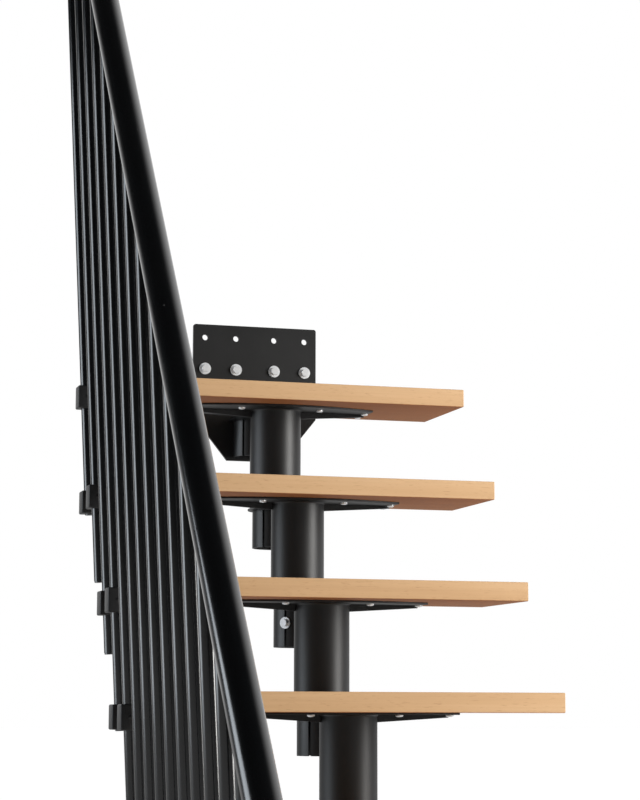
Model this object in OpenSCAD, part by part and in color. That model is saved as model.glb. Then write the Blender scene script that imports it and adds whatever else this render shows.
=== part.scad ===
// Modular straight staircase: tube supports under timber treads, railing on one side.
// The flight climbs towards +Y, Z is up and the railing stands on the -X side.
// The origin is the centre of the floor flange's underside, below the first tube.

/* [Flight] */
// Number of treads between the floor and the landing
tread_count = 11; // [11:1:14]
// Height from one tread to the next
rise = 213; // [195:1:235]
// Horizontal step from one tread to the next
run = 180; // [175:1:220]

/* [Treads] */
// Width of the flight
tread_w = 740; // [700:5:900]
// Depth of a tread from front to back
tread_d = 256; // [245:1:275]
// Thickness of a tread
tread_t = 37; // [30:1:42]
// Distance of the front edge ahead of the tread's own tube axis
tread_front = 157; // [150:1:165]

/* [Supports] */
// Outer diameter of the main tubes
tube_d = 108; // [106:1:112]
// Wall of the main tubes
tube_wall = 4; // [3:0.5:4.5]
// Outer diameter of the rear stub that the next tube stands over
stub_d = 96; // [90:1:97]
// Wall of the rear stub
stub_wall = 4; // [3:0.5:5]
// Length of stub below the tread's underside
stub_drop = 83; // [70:1:100]
// Length of stub inside the next tube
stub_rise = 110; // [60:1:130]
// Width of the stub's clamp slot
slot_w = 5; // [3:0.5:8]
// Thickness of the web between tube and stub
web_t = 8; // [6:1:12]

/* [Wing plates] */
// Half length of the wing plate
wing_half = 202; // [190:1:230]
// Thickness of the wing plate
wing_t = 4; // [3:0.5:6]
// Reach of the front bow ahead of the tube axis
bow_front = 92; // [80:1:100]
// Front corner of the straight ends, ahead of the tube axis
end_front = 50; // [40:1:60]
// Rear corner of the straight ends, behind the tube axis
end_rear = 50; // [45:1:60]
// Depth of the stiffening rib at the tube
rib_deep = 18; // [14:1:25]
// Depth of the stiffening rib at its ends
rib_shallow = 9; // [6:1:12]
// Thickness of the stiffening rib
rib_t = 6; // [4:1:8]

/* [Landing plate] */
// Width of the landing plate
plate_w = 280; // [260:1:320]
// Thickness of the landing plate
plate_t = 8; // [6:1:12]
// Top edge above the last tread's top
plate_up = 173; // [165:1:200]
// Bottom edge below the last tread's top
plate_down = 128; // [120:1:135]
// Width that each lower corner loses to its chamfer
chamfer_w = 78; // [50:1:90]
// Height that each lower corner loses to its chamfer
chamfer_h = 97; // [60:1:100]
// Radius of the rounded upper corners
corner_r = 5; // [2:1:15]
// Anchor hole diameter
anchor_hole_d = 13; // [12:0.5:15]

/* [Floor flange] */
// Side of the square flange
flange_w = 200; // [180:5:240]
// Thickness of the flange
flange_t = 8; // [6:1:12]
// Distance between the flange's anchor holes
flange_pitch = 150; // [140:5:160]

/* [Railing] */
// Handrail diameter
handrail_d = 52; // [45:1:60]
// Height of the handrail axis above the line of the tread tops
handrail_up = 1270; // [1200:5:1300]
// Handrail axis beyond the tread ends
handrail_out = 105; // [100:1:110]
// Baluster diameter
baluster_d = 25; // [20:0.5:28]
// Outward lean of the balusters in degrees
lean = 2.9; // [2.5:0.1:3.2]
// Baluster axis beyond the tread ends, at the line of the tread tops
baluster_out = 53; // [48:1:58]
// Baluster bottoms below the line of the tread tops
baluster_drop = 137; // [130:1:150]
// First baluster ahead of the first tube axis
first_baluster = 125; // [120:1:130]

/* [Hidden] */
NUMBERS = [for (k = [1:tread_count]) str(k < 10 ? "0" : "", k)];
BALUSTER_NODES = ["balusters_lower", "balusters_mid_lower", "balusters_mid_upper", "balusters_upper"];

$fn = 64;
slope = rise / run;
pitch = 2 * run / 3;
baluster_count = round(tread_count * 3 / 2) - 1;
baluster_groups = len(BALUSTER_NODES);
clear = 0.3;
cut = 1;

beech = "burlywood";
black = [0.09, 0.09, 0.10];
zinc = "silver";

// Places along the flight
function axis_y(k) = (k - 1) * run;
function tread_top(k) = k * rise;
function underside(k) = tread_top(k) - tread_t;
function line_z(y) = rise + slope * y;
function baluster_y(i) = i * pitch - first_baluster;

// The bow of the wing plate is an arc through its middle and its two front corners
bow_sag = bow_front - end_front;
bow_r = (wing_half * wing_half + bow_sag * bow_sag) / (2 * bow_sag);
neck_half = 58;
neck_y = 104;

// Screws into each tread, as X and Y from the tube axis
screw_d = 15;
screw_h = 4;
SCREWS = [[85, -45], [193, -18], [193, 33]];

// Anchor holes of the landing plate, from the plate's middle and the last tread's top
hole_x = [43.5, 113.5];
bolt_row = 74;
free_row = 144;
landing_y = axis_y(tread_count) + run;

// Hexagon bolts
washer_d = 26;
washer_t = 2.5;
hex_af = 19;
hex_h = 8;
shank_d = 12;
clamp_tread = tread_count - 2;
clamp_drop = 35;
clamp_angle = 45;

// Brackets that hold the balusters to the treads
block_x = 36;
block_y = 38;
block_z = 46;
block_down = 46;
stem_w = 30;
stem_t = 8;
stem_in = 60;

module at_module(k) {
    translate([0, axis_y(k), underside(k)]) children();
}

module tread(k) {
    color(beech)
    translate([-tread_w / 2, axis_y(k) - tread_front, underside(k)])
    cube([tread_w, tread_d, tread_t]);
}

// The plate under a tread, with its top face at Z = 0
module wing_plate() {
    translate([0, 0, -wing_t]) {
        intersection() {
            translate([0, bow_r - bow_front, 0]) cylinder(r = bow_r, h = wing_t, $fn = 256);
            translate([-wing_half, -bow_front - cut, 0])
                cube([2 * wing_half, bow_front + end_rear + cut, wing_t]);
        }
        linear_extrude(wing_t)
            polygon([
                [-wing_half, 0], [wing_half, 0], [wing_half, end_rear],
                [neck_half, neck_y], [neck_half, run],
                [-neck_half, run], [-neck_half, neck_y], [-wing_half, end_rear]
            ]);
        translate([0, run, 0]) cylinder(r = neck_half, h = wing_t);
    }
}

// The rib below the wing plate, deepest at the tube
module wing_rib() {
    rib_half = wing_half - rib_t;
    translate([0, rib_t / 2, 0])
    rotate([90, 0, 0])
    linear_extrude(rib_t)
        polygon([
            [-rib_half, -wing_t], [-rib_half, -rib_shallow], [-tube_d / 2, -rib_deep],
            [tube_d / 2, -rib_deep], [rib_half, -rib_shallow], [rib_half, -wing_t]
        ]);
}

// The web that ties the tube to the rear stub
module stub_web() {
    translate([-web_t / 2, 0, -stub_drop]) cube([web_t, run, stub_drop - wing_t]);
}

module clamp_slot() {
    translate([0, run, -stub_drop - cut])
    rotate([0, 0, clamp_angle])
    translate([-slot_w / 2, -stub_d, 0])
        cube([slot_w, stub_d - 2 * stub_wall, stub_drop - wing_t - cut]);
}

// One support: tube, wing plate, rib, web and rear stub. The last one has half a stub,
// cut off flat against the landing plate.
module support(k) {
    first = k == 1;
    last = k == tread_count;
    foot = first ? flange_t - underside(1) : -rise;
    stub_top = last ? 0 : stub_rise;
    color(black)
    at_module(k)
    difference() {
        union() {
            translate([0, 0, foot]) cylinder(d = tube_d, h = -foot);
            wing_plate();
            wing_rib();
            stub_web();
            translate([0, run, -stub_drop]) cylinder(d = stub_d, h = stub_drop + stub_top);
        }
        translate([0, 0, foot - cut])
            cylinder(d = tube_d - 2 * tube_wall, h = cut - foot - wing_t);
        translate([0, run, -stub_drop - cut])
            cylinder(d = stub_d - 2 * stub_wall, h = stub_drop + stub_top + 2 * cut);
        clamp_slot();
        if (last)
            translate([-tread_w / 2, run, -2 * stub_drop])
                cube([tread_w, run, 4 * stub_drop]);
    }
}

module floor_flange() {
    color(black)
    difference() {
        union() {
            translate([-flange_w / 2, -flange_w / 2, 0]) cube([flange_w, flange_w, flange_t]);
            cylinder(d = stub_d, h = flange_t + stub_rise);
        }
        translate([0, 0, -cut]) cylinder(d = stub_d - 2 * stub_wall, h = flange_t + stub_rise + 2 * cut);
        for (x = [-1, 1], y = [-1, 1])
            translate([x * flange_pitch / 2, y * flange_pitch / 2, -cut])
                cylinder(d = anchor_hole_d, h = flange_t + 2 * cut);
    }
}

// Draws its children along +Y at the height z above the last tread's top
module on_landing(x, z) {
    translate([x, landing_y, tread_top(tread_count) + z]) rotate([-90, 0, 0]) children();
}

// The plate seen from the flight, with the last tread's top at Y = 0
module landing_outline() {
    difference() {
        polygon([
            [-plate_w / 2, plate_up], [plate_w / 2, plate_up],
            [plate_w / 2, chamfer_h - plate_down], [plate_w / 2 - chamfer_w, -plate_down],
            [chamfer_w - plate_w / 2, -plate_down], [-plate_w / 2, chamfer_h - plate_down]
        ]);
        for (side = [-1, 1])
            translate([side * plate_w / 2, plate_up]) square(2 * corner_r, center = true);
    }
    for (side = [-1, 1])
        translate([side * (plate_w / 2 - corner_r), plate_up - corner_r]) circle(corner_r);
}

module landing_plate() {
    color(black)
    difference() {
        translate([0, landing_y + plate_t, tread_top(tread_count)])
        rotate([90, 0, 0])
        linear_extrude(plate_t)
            landing_outline();
        for (side = [-1, 1], x = hole_x, z = [bolt_row, free_row])
            on_landing(side * x, z)
            translate([0, 0, -cut])
                cylinder(d = anchor_hole_d, h = plate_t + 2 * cut);
    }
}

// A hexagon bolt with its washer's back at Z = 0 and its head on the -Z side
module hex_bolt(shank) {
    hex_d = hex_af / cos(30);
    translate([0, 0, -washer_t]) cylinder(d = washer_d, h = washer_t);
    translate([0, 0, -washer_t - hex_h]) cylinder(d = hex_d, h = hex_h, $fn = 6);
    cylinder(d = shank_d, h = shank);
}

module landing_bolts() {
    color(zinc)
    for (side = [-1, 1], x = hole_x)
        on_landing(side * x, bolt_row) hex_bolt(plate_t);
}

module clamp_bolt() {
    color(zinc)
    at_module(clamp_tread)
    translate([0, run, -clamp_drop])
    rotate([0, 0, clamp_angle])
    translate([0, -stub_d / 2, 0])
    rotate([-90, 0, 0])
    scale(0.9)
        hex_bolt(0.01);
}

module tread_screws() {
    color(zinc)
    for (k = [1:tread_count])
        at_module(k)
        for (side = [-1, 1], s = SCREWS)
            translate([side * s[0], s[1], -wing_t - screw_h])
                cylinder(d = screw_d, h = screw_h);
}

// The axis of baluster i: its children are drawn with Z along it and
// Z = 0 on the line of the tread tops
module on_baluster(i) {
    y = baluster_y(i);
    translate([-tread_w / 2 - baluster_out, y, line_z(y)]) rotate([0, -lean, 0]) children();
}

// The handrail's axis, with Z = 0 where the rail crosses Y = 0
module on_handrail() {
    translate([-tread_w / 2 - handrail_out, 0, line_z(0) + handrail_up])
    rotate([-atan(run / rise), 0, 0])
        children();
}

rail_scale = norm([run, rise]) / run;
rail_end = 150;
rail_low = (baluster_y(0) - rail_end) * rail_scale;
rail_high = (baluster_y(baluster_count - 1) + rail_end) * rail_scale;
cap_t = 4;

module handrail() {
    color(black)
    on_handrail()
    translate([0, 0, rail_low])
        cylinder(d = handrail_d, h = rail_high - rail_low);
}

module handrail_caps() {
    color(black)
    on_handrail()
    for (z = [rail_low - cap_t, rail_high])
        translate([0, 0, z]) cylinder(d = handrail_d, h = cap_t);
}

// Each baluster is coped to the underside of the handrail, and none goes below the floor
module baluster(i) {
    difference() {
        on_baluster(i)
        translate([0, 0, -baluster_drop])
            cylinder(d = baluster_d, h = baluster_drop + handrail_up);
        on_handrail()
        translate([0, 0, rail_low])
            cylinder(d = handrail_d, h = rail_high - rail_low);
        if (i == 0)
            translate([-tread_w, -tread_w, -tread_w]) cube([2 * tread_w, 2 * tread_w, tread_w]);
    }
}

module balusters(group) {
    in_group = baluster_count / baluster_groups;
    color(black)
    for (i = [round(group * in_group) : round((group + 1) * in_group) - 1])
        baluster(i);
}

// A bracket holds baluster i to the underside of tread k
module bracket(k, i) {
    y = baluster_y(i);
    block_x0 = -tread_w / 2 - baluster_out - (tread_top(k) - line_z(y)) * tan(lean);
    color(black)
    difference() {
        union() {
            translate([block_x0 - block_x / 2, y - block_y / 2, tread_top(k) - block_down - block_z / 2])
                cube([block_x, block_y, block_z]);
            translate([block_x0, y - stem_w / 2, underside(k) - stem_t])
                cube([-block_x0 - tread_w / 2 + stem_in, stem_w, stem_t]);
        }
        on_baluster(i)
        translate([0, 0, -baluster_drop - cut])
            cylinder(d = baluster_d + 2 * clear, h = baluster_drop + handrail_up);
    }
}

// Counted from the top, every second tread shares its front baluster with the tread below
function tops_pair(k) = (tread_count - k) % 2 == 0;
function front_baluster(k) = tops_pair(k)
    ? (k - 1) * 3 / 2
    : (k * 3 - 2) / 2;

module brackets_front() {
    for (k = [1:tread_count])
        bracket(k, front_baluster(k));
}

module brackets_rear() {
    for (k = [1:tread_count - 1])
        bracket(k, front_baluster(k) + 1);
}

for (i = [0:tread_count - 1]) {
    tread(i + 1);
    support(i + 1);
}
for (group = [0:baluster_groups - 1])
    balusters(group);
floor_flange();
landing_plate();
landing_bolts();
clamp_bolt();
tread_screws();
brackets_front();
brackets_rear();
handrail();
handrail_caps();
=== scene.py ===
import math

import bmesh
import bpy
import numpy as np
from mathutils import Matrix, Vector


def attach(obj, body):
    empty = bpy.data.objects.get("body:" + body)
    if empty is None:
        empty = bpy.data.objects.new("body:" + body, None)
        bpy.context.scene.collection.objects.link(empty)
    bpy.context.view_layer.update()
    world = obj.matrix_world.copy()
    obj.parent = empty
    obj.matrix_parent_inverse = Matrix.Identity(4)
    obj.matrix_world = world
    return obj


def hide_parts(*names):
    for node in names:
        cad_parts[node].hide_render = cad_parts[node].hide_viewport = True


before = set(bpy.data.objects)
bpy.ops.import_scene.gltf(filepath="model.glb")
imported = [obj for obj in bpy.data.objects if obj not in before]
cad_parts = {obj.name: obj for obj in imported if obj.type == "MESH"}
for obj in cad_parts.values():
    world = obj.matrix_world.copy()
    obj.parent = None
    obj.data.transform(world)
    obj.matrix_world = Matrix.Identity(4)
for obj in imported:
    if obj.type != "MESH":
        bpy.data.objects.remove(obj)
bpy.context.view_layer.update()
mm = 0.001

# The flight's own numbers, in millimetres, as the part has them
flight = {"treads": 11, "rise": 213.0, "run": 180.0, "width": 740.0, "depth": 256.0,
          "thickness": 37.0, "front": 157.0}


def underside(k):  # height of the lower face of tread k
    return k * flight["rise"] - flight["thickness"]


def axisY(k):  # the tube axis under tread k
    return (k - 1) * flight["run"]


class Wire:
    # One output socket that can be added, multiplied and so on
    def __init__(self, kit, socket):
        self.kit = kit
        self.socket = socket

    def math(self, operation, a, b=None, clamp=False):
        values = {0: a} if b is None else {0: a, 1: b}
        return self.kit.add("ShaderNodeMath", {"operation": operation, "use_clamp": clamp}, values)

    def __add__(self, other):
        return self.math("ADD", self, other)

    def __radd__(self, other):
        return self.math("ADD", other, self)

    def __sub__(self, other):
        return self.math("SUBTRACT", self, other)

    def __rsub__(self, other):
        return self.math("SUBTRACT", other, self)

    def __mul__(self, other):
        return self.math("MULTIPLY", self, other)

    def __truediv__(self, other):
        return self.math("DIVIDE", self, other)

    def clamped(self):
        return self.math("ADD", self, 0.0, clamp=True)

    def floored(self):
        return self.math("FLOOR", self)


class NodeKit:
    # A node tree whose nodes all come from add()
    def __init__(self, tree):
        self.tree = tree

    def add(self, kind, settings=None, values=None, out=0):
        node = self.tree.nodes.new(kind)
        for key, value in (settings or {}).items():
            if key == "stops":
                ramp = node.color_ramp
                while len(ramp.elements) < len(value):
                    ramp.elements.new(0.5)
                for element, (place, colour) in zip(ramp.elements, value):
                    element.position = place
                    element.color = (*colour, 1.0)
            else:
                setattr(node, key, value)
        for key, value in (values or {}).items():
            self.feed(node.inputs[key], value)
        return Wire(self, node.outputs[out])

    def feed(self, socket, value):
        if isinstance(value, Wire):
            self.tree.links.new(value.socket, socket)
        elif isinstance(value, (tuple, list)) and len(value) == 3 and socket.type == "RGBA":
            socket.default_value = (*value, 1.0)
        else:
            socket.default_value = value


class Finish(NodeKit):
    # A material with one main shader, patterned by object position
    def __init__(self, name):
        self.material = bpy.data.materials.new(name)
        self.material.use_nodes = True
        super().__init__(self.material.node_tree)
        self.shader = self.tree.nodes["Principled BSDF"]
        self.position = self.add("ShaderNodeTexCoord", out="Object")

    def set(self, **sockets):
        names = {"colour": "Base Color", "rough": "Roughness", "metal": "Metallic",
                 "normal": "Normal", "specular": "Specular IOR Level"}
        for key, value in sockets.items():
            self.feed(self.shader.inputs[names[key]], value)

    def stretched(self, scale):  # object position, scaled per axis
        return self.add("ShaderNodeMapping", {}, {"Vector": self.position, "Scale": scale})

    def noise(self, where, scale, detail, rough):
        return self.add("ShaderNodeTexNoise", {}, {"Vector": where, "Scale": scale,
                                                   "Detail": detail, "Roughness": rough})

    def mixed(self, factor, a, b, blend="MIX"):
        return self.add("ShaderNodeMix", {"data_type": "RGBA", "blend_type": blend},
                        {0: factor, 6: a, 7: b}, out=2)

    def ramp(self, factor, stops):
        return self.add("ShaderNodeValToRGB", {"stops": stops}, {"Fac": factor})

    def part(self, vector, axis):
        return self.add("ShaderNodeSeparateXYZ", {}, {0: vector}, out=axis)

    def bump(self, height, distance, strength):
        return self.add("ShaderNodeBump", {}, {"Height": height, "Distance": distance,
                                               "Strength": strength})


# The colour that multiplies the lower face of each tread stands for bare wood and for painted shade
beech = {"dark": (0.56, 0.345, 0.178), "mid": (0.62, 0.395, 0.213), "pale": (0.675, 0.45, 0.257),
         "below": (0.58, 0.36, 0.25), "fleck": (0.36, 0.18, 0.07), "fleckStrength": 0.35,
         "ringStretch": (0.55, 7.0, 9.0), "ringScale": 3.2, "ringShare": 0.62,
         "fibreStretch": (4.0, 260.0, 260.0), "fibreShare": 0.38,
         "fleckStretch": (60.0, 900.0, 500.0), "stave": 0.043, "staveHeight": 0.1,
         "staveTone": 0.08, "rough": 0.6, "roughSpread": 0.16, "relief": 0.0002, "specular": 0.15}


def beechFinish():
    # Grain runs along X: slow rings across Y and Z, fine fibres, short dark flecks,
    # and glued staves that each have their own tone
    f = Finish("beech")
    rings = f.noise(f.stretched(beech["ringStretch"]), beech["ringScale"], 3.0, 0.55)
    fibre = f.noise(f.stretched(beech["fibreStretch"]), 1.0, 5.0, 0.6)
    fleck = f.noise(f.stretched(beech["fleckStretch"]), 1.0, 2.0, 0.5)
    y = f.part(f.position, 1)
    z = f.part(f.position, 2)
    staveIndex = (y / beech["stave"]).floored() + (z / beech["staveHeight"]).floored() * 7.0
    tone = f.add("ShaderNodeTexWhiteNoise", {"noise_dimensions": "1D"}, {"W": staveIndex},
                 out="Value")
    grain = rings * beech["ringShare"] + fibre * beech["fibreShare"]
    level = grain + (tone - 0.5) * beech["staveTone"]
    stops = [(0.25, beech["dark"]), (0.5, beech["mid"]), (0.75, beech["pale"])]
    colour = f.ramp(level.clamped(), stops)
    fleckMask = ((fleck - 0.62) * 9.0).clamped()
    colour = f.mixed(fleckMask * beech["fleckStrength"], colour, beech["fleck"])
    # Faces turned downwards are darkened: partly bare wood, partly painted shade
    faceUp = f.part(f.add("ShaderNodeNewGeometry", out="Normal"), 2)
    below = ((0.0 - faceUp) * 2.0 - 0.6).clamped()  # the lower face is darker and browner: partly bare wood, partly painted shade
    colour = f.mixed(below, colour, beech["below"], "MULTIPLY")
    rough = beech["rough"] + (fibre - 0.5) * beech["roughSpread"]
    height = fibre * 0.7 + fleckMask * -0.5
    f.set(colour=colour, rough=rough, normal=f.bump(height, beech["relief"], 0.5),
          specular=beech["specular"])
    return f.material


coat = {"colour": (0.0028, 0.003, 0.0036), "dust": (0.014, 0.0145, 0.016), "patchShare": 0.25,
        "speckShare": 0.35, "rough": 0.43, "roughSpread": 0.14, "relief": 0.00012, "specular": 0.5}


def satinFinish():
    # Powder coat: fine orange peel, with slow patches of dust that are a little paler and duller
    f = Finish("satinBlack")
    peel = f.noise(f.position, 900.0, 2.0, 0.5)
    patch = f.noise(f.position, 5.0, 4.0, 0.6)
    speck = f.noise(f.position, 420.0, 2.0, 0.6)
    patchMask = ((patch - 0.5) * 3.0).clamped()
    speckMask = ((speck - 0.68) * 10.0).clamped()
    dust = patchMask * coat["patchShare"] + speckMask * coat["speckShare"]
    colour = f.mixed(dust, coat["colour"], coat["dust"])
    f.set(colour=colour, rough=coat["rough"] + (patch - 0.5) * coat["roughSpread"],
          normal=f.bump(peel, coat["relief"], 0.5), specular=coat["specular"])
    return f.material


gloss = {"colour": (0.0018, 0.0021, 0.0027), "scuff": (0.55, 0.55, 0.55), "rough": 0.17,
         "smearSpread": 0.16, "scuffRough": 0.35, "relief": 0.00006, "specular": 0.9}


def glossFinish():
    # Glossier coat on the railing: a faint ripple, dull finger marks and a few pale scuffs
    f = Finish("glossBlack")
    ripple = f.noise(f.position, 90.0, 2.0, 0.5)
    smear = f.noise(f.stretched((9.0, 9.0, 3.0)), 1.0, 5.0, 0.6)
    spot = f.noise(f.position, 75.0, 3.0, 0.65)
    area = f.noise(f.position, 3.5, 2.0, 0.5)
    scuff = ((spot - 0.735) * 26.0).clamped() * ((area - 0.5) * 9.0).clamped()
    colour = f.mixed(scuff, gloss["colour"], gloss["scuff"])
    rough = gloss["rough"] + (smear - 0.45) * gloss["smearSpread"] + scuff * gloss["scuffRough"]
    f.set(colour=colour, rough=rough.clamped(), normal=f.bump(ripple, gloss["relief"], 0.3),
          specular=gloss["specular"])
    return f.material


plating = {"colour": (0.88, 0.90, 0.92), "dull": (0.74, 0.77, 0.80), "rough": 0.36,
           "bloomRough": 0.1, "metal": 0.6, "relief": 0.00002}


def zincFinish():
    # Bright zinc plating with a cloudy bloom
    f = Finish("zincPlate")
    bloom = f.noise(f.position, 180.0, 4.0, 0.6)
    fine = f.noise(f.position, 1400.0, 2.0, 0.5)
    cloud = ((bloom - 0.4) * 2.5).clamped()
    f.set(colour=f.mixed(cloud, plating["colour"], plating["dull"]), metal=plating["metal"],
          rough=plating["rough"] + cloud * plating["bloomRough"],
          normal=f.bump(fine, plating["relief"], 0.3))
    return f.material


finishes = {"timber": beechFinish(), "black_steel": satinFinish(),
            "rail_gloss": glossFinish(), "zinc": zincFinish()}
print("finishes made")


def gridSurface(points, closeRows=False, closeColumns=False):
    # Quads over an array of points of shape (rows, columns, 3)
    rows, columns = points.shape[:2]
    i, j = np.meshgrid(np.arange(rows if closeRows else rows - 1),
                       np.arange(columns if closeColumns else columns - 1), indexing="ij")
    a = i * columns + j
    b = i * columns + (j + 1) % columns
    c = ((i + 1) % rows) * columns + (j + 1) % columns
    d = ((i + 1) % rows) * columns + j
    return points.reshape(-1, 3), np.stack([a, b, c, d], -1).reshape(-1, 4).tolist()


def joined(parts):
    # Several (points, faces) as one
    points, faces, start = [], [], 0
    for somePoints, someFaces in parts:
        points.append(somePoints)
        faces += [[v + start for v in face] for face in someFaces]
        start += len(somePoints)
    return np.concatenate(points), faces


def sideways(axis):  # two unit vectors across an axis
    axis = np.asarray(axis, float) / np.linalg.norm(axis)
    across = np.cross(axis, (0.0, 1.0, 0.0) if abs(axis[1]) < 0.9 else (1.0, 0.0, 0.0))
    across /= np.linalg.norm(across)
    return axis, across, np.cross(axis, across)


def turned(profile, origin, axis=(0, 0, 1), segments=64):
    # Profile of (radius, height) turned about an axis through origin:
    # P = origin + height * axis + radius * (cos u * across + sin u * other)
    axis, across, other = sideways(axis)
    profile = np.asarray(profile, float)
    u = np.linspace(0, 2 * np.pi, segments, endpoint=False)[:, None, None]
    ring = np.cos(u) * across + np.sin(u) * other
    radius, height = profile[None, :, 0:1], profile[None, :, 1:2]
    points = np.asarray(origin, float) + height * axis + radius * ring
    return gridSurface(points, closeRows=True)


def roundedBox(low, high, radius, steps=3):
    # Each point of a box's faces moves onto the rounded one:
    # P = Q held to the inner box, plus radius times the direction from there to Q
    low, high = np.asarray(low, float), np.asarray(high, float)
    parts = []
    for axis in range(3):
        for side in (0, 1):
            lines = []
            for a in [n for n in range(3) if n != axis]:
                bend = radius * np.tan(np.linspace(-np.pi / 4, 0, steps + 1))
                rim = [low[a] + radius + bend, high[a] - radius - bend[::-1]]
                lines.append(np.concatenate(rim))
            u, v = np.meshgrid(*lines, indexing="ij")
            flat = np.full(u.shape, (low, high)[side][axis])
            q = np.insert(np.stack([u, v], -1), axis, flat, axis=-1)
            inner = np.clip(q, low + radius, high - radius)
            away = q - inner
            away /= np.linalg.norm(away, axis=-1, keepdims=True)
            parts.append(gridSurface(inner + radius * away))
    return joined(parts)


def plateFromOutline(outline, low, high, ease, place):
    # An outline in a plane, carried through a thickness; both rims are eased by an inset ring.
    # Inset = outline minus ease times the mean of its two neighbouring edge normals
    outline = np.asarray(outline, float)
    forward = np.roll(outline, -1, 0) - outline
    forward /= np.linalg.norm(forward, axis=1, keepdims=True)
    normal = np.stack([forward[:, 1], -forward[:, 0]], 1)
    mean = normal + np.roll(normal, 1, 0)
    mean /= np.maximum((mean * mean).sum(1, keepdims=True) / 2, 0.2)
    following = np.roll(outline, -1, 0)
    area = np.sum(outline[:, 0] * following[:, 1] - outline[:, 1] * following[:, 0])
    inset = outline - ease * mean * np.sign(area)
    rows = [(inset, low), (outline, low + ease), (outline, high - ease), (inset, high)]
    points = np.stack([np.column_stack([ring, np.full(len(ring), level)]) for ring, level in rows])
    flat, faces = gridSurface(place(points), closeColumns=True)
    count = len(outline)
    faces.append(list(range(count)))
    faces.append([3 * count + n for n in range(count)][::-1])
    return flat, faces


def makePiece(name, surface, slotName, replaced, crease=35.0):
    # Points in millimetres become a closed mesh in metres that rides on the body
    points, faces = surface
    mesh = bpy.data.meshes.new(name)
    mesh.from_pydata((points * mm).tolist(), [], faces)
    work = bmesh.new()
    work.from_mesh(mesh)
    bmesh.ops.remove_doubles(work, verts=work.verts, dist=2e-6)
    bmesh.ops.dissolve_degenerate(work, edges=work.edges, dist=1e-7)
    bmesh.ops.recalc_face_normals(work, faces=work.faces)
    work.to_mesh(mesh)
    work.free()
    mesh.polygons.foreach_set("use_smooth", np.ones(len(mesh.polygons), bool))
    mesh.set_sharp_from_angle(angle=math.radians(crease))
    mesh.materials.append(finishes[slotName])
    piece = bpy.data.objects.new(name, mesh)
    bpy.context.scene.collection.objects.link(piece)
    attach(piece, "root")
    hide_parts(*replaced)


board = {"ease": 2.2}
for k in range(1, flight["treads"] + 1):
    y0 = axisY(k) - flight["front"]
    low = (-flight["width"] / 2, y0, underside(k))
    high = (flight["width"] / 2, y0 + flight["depth"], underside(k) + flight["thickness"])
    surface = roundedBox(low, high, board["ease"])
    makePiece(f"tread_board_{k:02d}", surface, "timber", [f"tread_{k:02d}"])
print("treads made")

support = {"tube": 54.0, "bore": 50.0, "stub": 48.0, "stubBore": 44.0, "drop": 83.0,
           "riseIn": 110.0, "slot": 5.0, "wing": 202.0, "plate": 4.0, "bow": 92.0,
           "endFront": 50.0, "endRear": 50.0,
           "neck": 58.0, "neckY": 104.0, "ribDeep": 18.0, "ribShallow": 9.0, "rib": 6.0, "web": 8.0,
           "weld": 4.0, "flange": 8.0}


def arc(centre, radius, start, stop, count):  # points on an arc, angles in degrees
    angle = np.radians(np.linspace(start, stop, count))
    return np.stack([centre[0] + radius * np.cos(angle), centre[1] + radius * np.sin(angle)], 1)


def wingOutline(last):
    # Bowed front edge: arc through the two front corners and the middle of the bow
    s = support
    sag = s["bow"] - s["endFront"]
    radius = (s["wing"] ** 2 + sag ** 2) / (2 * sag)
    half = math.degrees(math.asin(s["wing"] / radius))
    front = arc((0, radius - s["bow"]), radius, -90 - half, -90 + half, 49)
    right = [(s["wing"], s["endRear"]), (s["neck"], s["neckY"])]
    rear = [(s["neck"], flight["run"]), (-s["neck"], flight["run"])]
    if not last:
        rear = arc((0, flight["run"]), s["neck"], 0, 180, 25)
    left = [(-s["neck"], s["neckY"]), (-s["wing"], s["endRear"])]
    return np.concatenate([front, right, rear, left])


def stubOutlines(last):
    # Ring section with the clamp slot open towards the front left; the last one is its front half
    s = support
    gap = math.degrees(s["slot"] / 2 / s["stub"])
    slotAngle = -135.0
    spans = [(slotAngle + gap, slotAngle + 360 - gap)]
    if last:
        spans = [(slotAngle + gap, 0), (-180, slotAngle - gap)]
    centre = (0, flight["run"])
    return [np.concatenate([arc(centre, s["stub"], a, b, 65), arc(centre, s["stubBore"], b, a, 65)])
            for a, b in spans]


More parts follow.
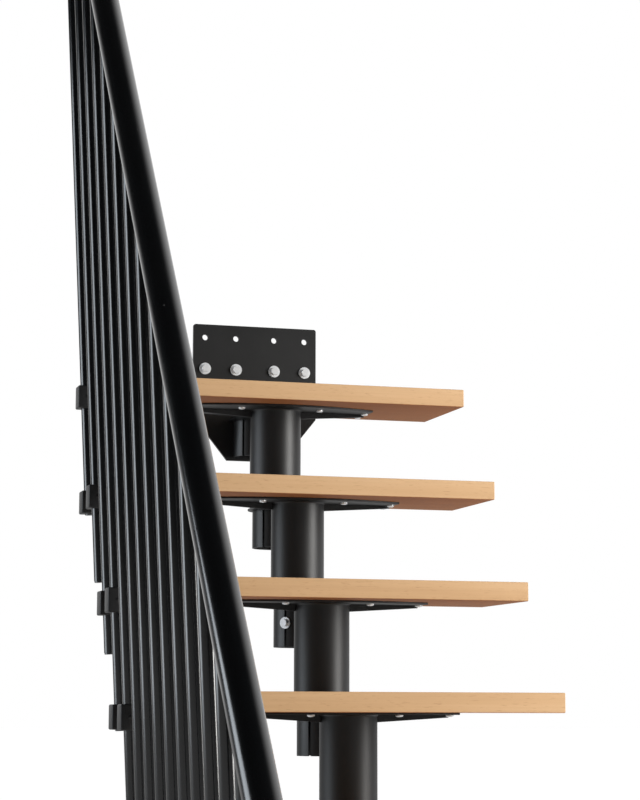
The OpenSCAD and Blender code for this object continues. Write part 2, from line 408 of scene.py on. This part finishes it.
def supportSurface(k):
    # Tube, wing plate, two ribs, web and slotted stub, and the core that the next tube slides over
    s = support
    last = k == flight["treads"]
    base = underside(k)
    origin = (0, axisY(k), base)
    foot = s["flange"] - base if k == 1 else -flight["rise"]

    def lift(points):
        return points + np.array(origin)

    def stand(points):
        return lift(np.stack([points[..., 0], points[..., 2], points[..., 1]], -1))

    top = -s["plate"]
    weld = s["weld"]
    bend = np.radians(np.linspace(0, 90, 6))
    fillet = [(s["tube"] + weld - weld * math.cos(turn), top - weld + weld * math.sin(turn))
              for turn in bend]
    tube = [(s["bore"], top), (s["bore"], foot), (s["tube"] - 0.8, foot),
            (s["tube"], foot + 0.8)] + fillet
    parts = [turned(tube, origin, segments=128)]
    parts.append(plateFromOutline(wingOutline(last), -s["plate"], 0.0, 0.6, lift))
    ribEnd = s["wing"] - s["rib"]
    rib = [(-ribEnd, -3.5), (-ribEnd, -s["ribShallow"]), (-s["tube"], -s["ribDeep"]),
           (-s["bore"] - 1, -s["ribDeep"]), (-s["bore"] - 1, -3.5)]
    for side in (-1, 1):
        outline = np.array(rib) * (-side, 1)
        parts.append(plateFromOutline(outline, -s["rib"] / 2, s["rib"] / 2, 0.5, stand))
    webPoints, webFaces = roundedBox(
        (-s["web"] / 2, s["bore"] + 1, -s["drop"] + 1),
        (s["web"] / 2, flight["run"] - s["stubBore"] - 1, -3.0), 0.5)
    parts.append((lift(webPoints), webFaces))
    for outline in stubOutlines(last):
        parts.append(plateFromOutline(outline, -s["drop"], -3.0, 0.5, lift))
    if not last:
        ring = [(s["stubBore"], -1.0), (s["stub"], -1.0), (s["stub"], s["riseIn"] - 1),
                (s["stub"] - 1, s["riseIn"]), (s["stubBore"], s["riseIn"]), (s["stubBore"], -1.0)]
        parts.append(turned(ring, (0, axisY(k + 1), base)))
    return joined(parts)


for k in range(1, flight["treads"] + 1):
    makePiece(f"spine_{k:02d}", supportSurface(k), "black_steel", [f"support_{k:02d}"], 28.0)
print("supports made")

fixing = {"screwHead": 7.5, "screwHeight": 4.0, "socket": 2.4, "washer": 13.0, "washerHeight": 2.5,
          "flats": 15.5, "head": 7.5, "shank": 6.0, "shankIn": 8.0, "wallRow": 74.0,
          "clampSize": 0.9, "clampDrop": 35.0}
screwPlaces = [(85, -45), (193, -18), (193, 33)]


def screwSurface(place):
    # Pan head that hangs below the plate, with a round drive socket
    radius, height, socket = fixing["screwHead"], fixing["screwHeight"], fixing["socket"]
    turn = np.radians(np.linspace(0, 80, 7))
    dome = np.stack([radius * np.cos(turn) ** 0.6, 0.8 + (height - 0.8) * np.sin(turn)], 1)
    dome = dome[dome[:, 0] > socket + 0.4]
    recess = [(socket, height), (socket * 0.9, height - 1.8), (0, height - 2.2)]
    profile = [(0, 0), (radius, 0)] + dome.tolist() + recess
    return turned(profile, place, (0, 0, -1), 24)


def hexSurface(size):
    # Hexagon head: radius over the angle is flats / 2 / cos(angle to the nearest flat),
    # cut by a cone at the top, so the corners run out in arcs
    u = np.linspace(0, 2 * np.pi, 72, endpoint=False)
    near = (u + np.pi / 6) % (np.pi / 3) - np.pi / 6
    hexagon = fixing["flats"] / 2 / np.cos(near)
    levels = np.array([0.0, 0.0, 0.72, 0.86, 0.95, 1.0, 1.0])
    limit = np.array([0.0, 20.0, 20.0, 0.575, 0.54, 0.505, 0.0])
    limit[3:6] *= fixing["flats"]
    radius = np.minimum(hexagon[:, None], limit[None, :])
    z = np.broadcast_to(levels * fixing["head"], radius.shape)
    points = np.stack([radius * np.cos(u)[:, None], radius * np.sin(u)[:, None], z], -1)
    return gridSurface(points * size, closeRows=True)


def boltSurface(place, outward, size=1.0, shank=0.0):
    # Washer, head and shank about one axis; the washer's back lies on place
    axis, across, other = sideways(outward)
    frameOf = np.stack([across, other, axis])
    wide, thick = fixing["washer"] * size, fixing["washerHeight"] * size
    hole = fixing["shank"] * size
    washer = [(0, 0), (wide - 0.4, 0), (wide, 0.4), (wide, thick - 0.4), (wide - 0.4, thick),
              (hole, thick), (0, thick)]
    headPoints, headFaces = hexSurface(size)
    headPoints = headPoints @ frameOf + np.asarray(place, float) + thick * axis
    parts = [turned(washer, place, axis), (headPoints, headFaces)]
    if shank:
        pin = [(0, -shank), (hole - 0.1, -shank), (hole - 0.1, 0.5), (0, 0.5)]
        parts.append(turned(pin, place, axis, 32))
    return joined(parts)


screws = [screwSurface((side * x, axisY(k) + y, underside(k) - support["plate"]))
          for k in range(1, flight["treads"] + 1) for side in (-1, 1) for x, y in screwPlaces]
makePiece("underside_screws", joined(screws), "zinc", ["tread_screws"])

lastTop = flight["treads"] * flight["rise"]
wallY = flight["treads"] * flight["run"]
boltX = (-113.5, -43.5, 43.5, 113.5)
landing = [boltSurface((x, wallY, lastTop + fixing["wallRow"]), (0, -1, 0), 1.0, fixing["shankIn"])
           for x in boltX]
makePiece("wall_bolts", joined(landing), "zinc", ["landing_bolts"], 30.0)

clampTread = flight["treads"] - 2
clampDirection = np.array([-1.0, -1.0, 0.0]) / math.sqrt(2)
clampCentre = np.array([0, axisY(clampTread + 1), underside(clampTread) - fixing["clampDrop"]])
clampPlace = clampCentre + support["stub"] * clampDirection
clampSurface = boltSurface(clampPlace, clampDirection, fixing["clampSize"])
makePiece("clamp_screw", clampSurface, "zinc", ["clamp_bolt"], 30.0)
print("fixings made")

rail = {"radius": 26.0, "up": 1270.0, "out": 105.0, "end": 150.0, "cap": 4.0,
        "ease": 2.2, "bar": 12.5, "lean": 2.9, "barOut": 53.0, "drop": 137.0, "first": 125.0,
        "bars": 16, "perGroup": 4, "tuckIn": 12.0, "plug": 0.7}
slope = flight["rise"] / flight["run"]
lean = math.tan(math.radians(rail["lean"]))


def lineZ(y):  # the line through the tread tops
    return flight["rise"] + slope * y


def barY(i):
    return i * 2 * flight["run"] / 3 - rail["first"]


def barX(i, z):
    return -flight["width"] / 2 - rail["barOut"] - (z - lineZ(barY(i))) * lean


railX = -flight["width"] / 2 - rail["out"]
railLow, railHigh = barY(0) - rail["end"], barY(rail["bars"] - 1) + rail["end"]
railAxis = np.array([0, flight["run"], flight["rise"]]) / math.hypot(flight["run"], flight["rise"])
railStart = np.array([railX, railLow, lineZ(railLow) + rail["up"]])
railLength = (railHigh - railLow) / railAxis[1]
railRadius = rail["radius"]
tubeProfile = [(0, 0), (railRadius - 0.6, 0), (railRadius, 0.6), (railRadius, railLength - 0.6),
               (railRadius - 0.6, railLength), (0, railLength)]
makePiece("rail_tube", turned(tubeProfile, railStart, railAxis, 160), "rail_gloss", ["handrail"])

quarter = np.radians(np.linspace(0, 90, 8))
capEdge = np.stack([railRadius - rail["ease"] + rail["ease"] * np.cos(quarter),
                    rail["cap"] - rail["ease"] + rail["ease"] * np.sin(quarter)], 1)
capBase = [(0, 0), (railRadius - 0.3, 0), (railRadius - 0.3, 0.4), (railRadius, 0.8)]
capProfile = capBase + capEdge.tolist() + [(0, rail["cap"])]
caps = [turned(capProfile, railStart, -railAxis, 96),
        turned(capProfile, railStart + railAxis * railLength, railAxis, 96)]
makePiece("rail_caps", joined(caps), "rail_gloss", ["handrail_caps"])


def barSurface(i):
    # A bar along its leaning axis, from a small plug at the bottom to inside the handrail
    y = barY(i)
    low = max(lineZ(y) - rail["drop"], 0.0)
    high = lineZ(y) + rail["up"] - rail["tuckIn"]
    start = np.array([barX(i, low), y, low])
    stop = np.array([barX(i, high), y, high])
    along = stop - start
    length = np.linalg.norm(along)
    start = start + along / length * rail["plug"]
    length -= rail["plug"]
    radius = rail["bar"]
    profile = [(0, 0), (radius - 1.6, 0), (radius - 0.7, 0.5), (radius - 0.7, 2.6),
               (radius, 3.1), (radius, length), (0, length)]
    return turned(profile, start, along, 64)


groups = ["lower", "mid_lower", "mid_upper", "upper"]
for number, group in enumerate(groups):
    firstBar = number * rail["perGroup"]
    bars = [barSurface(i) for i in range(firstBar, firstBar + rail["perGroup"])]
    makePiece(f"bars_{group}", joined(bars), "rail_gloss", [f"balusters_{group}"])

bracket = {"x": 36.0, "y": 38.0, "z": 46.0, "down": 46.0, "ease": 3.0,
           "arm": 30.0, "armThick": 8.0, "armIn": 60.0, "armEase": 1.0}


def bracketSurface(k, i):
    # A rounded clamp block round the bar, an arm under the tread and a screw head on the block
    b = bracket
    y, z = barY(i), k * flight["rise"] - b["down"]
    x = barX(i, k * flight["rise"])
    block = roundedBox((x - b["x"] / 2, y - b["y"] / 2, z - b["z"] / 2),
                       (x + b["x"] / 2, y + b["y"] / 2, z + b["z"] / 2), b["ease"])
    arm = roundedBox((x, y - b["arm"] / 2, underside(k) - b["armThick"]),
                     (-flight["width"] / 2 + b["armIn"], y + b["arm"] / 2, underside(k)),
                     b["armEase"])
    screwHead = turned([(0, 0), (4.5, 0), (4.5, 0.4), (3.6, 1.0), (0, 1.0)],
                       (x, y - b["y"] / 2 + 0.3, z), (0, -1, 0), 24)
    return joined([block, arm, screwHead])


def frontBar(k):
    # Counted from the top, every second tread shares its front bar with the one below
    return (k - 1) * 3 // 2 if (flight["treads"] - k) % 2 == 0 else (3 * k - 2) // 2


frontOnes = [bracketSurface(k, frontBar(k)) for k in range(1, flight["treads"] + 1)]
rearOnes = [bracketSurface(k, frontBar(k) + 1) for k in range(1, flight["treads"])]
makePiece("bar_clamps_front", joined(frontOnes), "black_steel", ["brackets_front"])
makePiece("bar_clamps_rear", joined(rearOnes), "black_steel", ["brackets_rear"])
print("railing made")

# The two plates keep their own shape and get the finish
for name in ("floor_flange", "landing_plate"):
    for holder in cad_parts[name].material_slots:
        holder.material = finishes["black_steel"]

studio = {"floorSize": 400.0, "floor": (0.86, 0.86, 0.86), "background": 1.0, "ambient": 0.4,
          "floorGlow": 0.68, "floorMirror": 0.1, "room": 0.015,
          "backdropSide": (0.55, 0.83, 0.0), "sweepFrom": 0.25, "sweepTo": 0.8}


def rayLevel(kit, mirror):
    # 1 where the camera or a clear surface looks, less in a reflection
    seen = [kit.add("ShaderNodeLightPath", out=f"Is {kind} Ray")
            for kind in ("Camera", "Glossy", "Transmission")]
    return (seen[0] + seen[1] * mirror + seen[2]).clamped()


def makeFloor():
    mesh = bpy.data.meshes.new("studioFloor")
    half = studio["floorSize"] / 2
    corners = [(-half, -half, 0), (half, -half, 0), (half, half, 0), (-half, half, 0)]
    mesh.from_pydata(corners, [], [(0, 1, 2, 3)])
    floor = bpy.data.objects.new("studioFloor", mesh)
    bpy.context.scene.collection.objects.link(floor)
    paint = Finish("floorPaint")
    paint.set(colour=studio["floor"], rough=0.9, specular=0.1)
    glow = rayLevel(paint, studio["floorMirror"]) * studio["floorGlow"]
    white = paint.add("ShaderNodeEmission", {}, {"Color": (1.0, 1.0, 1.0), "Strength": glow})
    lit = paint.add("ShaderNodeAddShader", {}, {0: Wire(paint, paint.shader.outputs[0]), 1: white})
    hidden = paint.add("ShaderNodeNewGeometry", out="Backfacing")  # clear from below
    clear = paint.add("ShaderNodeBsdfTransparent")
    shown = paint.add("ShaderNodeMixShader", {}, {0: hidden, 1: lit, 2: clear})
    paint.feed(paint.tree.nodes["Material Output"].inputs["Surface"], shown)
    mesh.materials.append(paint.material)


def makeWorld():
    # The camera sees white all round. Reflections see a white backdrop behind the flight and a
    # dim room in front of it, and the light that the world gives is a plain level
    world = bpy.data.worlds.new("studioWorld")
    bpy.context.scene.world = world
    world.use_nodes = True
    kit = NodeKit(world.node_tree)
    camera = kit.add("ShaderNodeLightPath", out="Is Camera Ray")
    glossy = kit.add("ShaderNodeLightPath", out="Is Glossy Ray")
    clear = kit.add("ShaderNodeLightPath", out="Is Transmission Ray")
    direction = kit.add("ShaderNodeTexCoord", out="Generated")
    facing = kit.add("ShaderNodeVectorMath", {"operation": "DOT_PRODUCT"},
                     {0: direction, 1: studio["backdropSide"]}, out="Value")
    sweep = kit.add("ShaderNodeMapRange", {"interpolation_type": "SMOOTHSTEP"},
                    {"Value": facing,
                     "From Min": studio["sweepFrom"], "From Max": studio["sweepTo"],
                     "To Min": studio["room"], "To Max": studio["background"]})
    mirrored = (glossy + clear).clamped()
    seen = camera * studio["background"] + mirrored * sweep
    level = seen + (1.0 - (camera + mirrored).clamped()) * studio["ambient"]
    kit.feed(kit.tree.nodes["Background"].inputs["Color"], (1.0, 1.0, 1.0))
    kit.feed(kit.tree.nodes["Background"].inputs["Strength"], level)


lamps = {"keyBox": {"place": (3.9, -1.2, 2.9), "aim": (0.0, 1.2, 1.9), "size": (2.0, 2.6),
                    "power": 268.0, "colour": (1.0, 0.985, 0.96)},
         "fillBox": {"place": (-4.3, 2.3, 2.6), "aim": (-0.1, 1.2, 1.7), "size": (2.6, 2.4),
                     "power": 80.0, "colour": (0.86, 0.93, 1.0)}}


def makeLamp(name, values):
    data = bpy.data.lights.new(name, "AREA")
    data.shape = "RECTANGLE"
    data.size, data.size_y = values["size"]
    data.energy = values["power"]
    data.color = values["colour"]
    lamp = bpy.data.objects.new(name, data)
    bpy.context.scene.collection.objects.link(lamp)
    lamp.location = values["place"]
    aim = Vector(values["aim"]) - Vector(values["place"])
    lamp.rotation_euler = aim.to_track_quat("-Z", "Y").to_euler()


view = {"eye": (-1.18744, -2.68531, 1.66807), "yaw": 0.27924, "pitch": 0.14119, "roll": 0.00226,
        "lens": 98.76195, "sensor": 36.0}


def makeCamera():
    yaw, pitch, roll = view["yaw"], view["pitch"], view["roll"]
    ahead = math.cos(pitch)
    forward = Vector((math.sin(yaw) * ahead, math.cos(yaw) * ahead, math.sin(pitch)))
    level = Vector((math.cos(yaw), -math.sin(yaw), 0))
    upright = level.cross(forward)
    right = math.cos(roll) * level + math.sin(roll) * upright
    up = -math.sin(roll) * level + math.cos(roll) * upright
    data = bpy.data.cameras.new("viewCamera")
    data.sensor_width = view["sensor"]
    data.lens = view["lens"]
    camera = bpy.data.objects.new("viewCamera", data)
    bpy.context.scene.collection.objects.link(camera)
    turn = Matrix((right, up, -forward)).transposed().to_4x4()
    camera.matrix_world = Matrix.Translation(view["eye"]) @ turn
    bpy.context.scene.camera = camera


makeFloor()
makeWorld()
for name, values in lamps.items():
    makeLamp(name, values)
makeCamera()
bpy.context.scene.view_settings.view_transform = "Standard"
print("studio made")
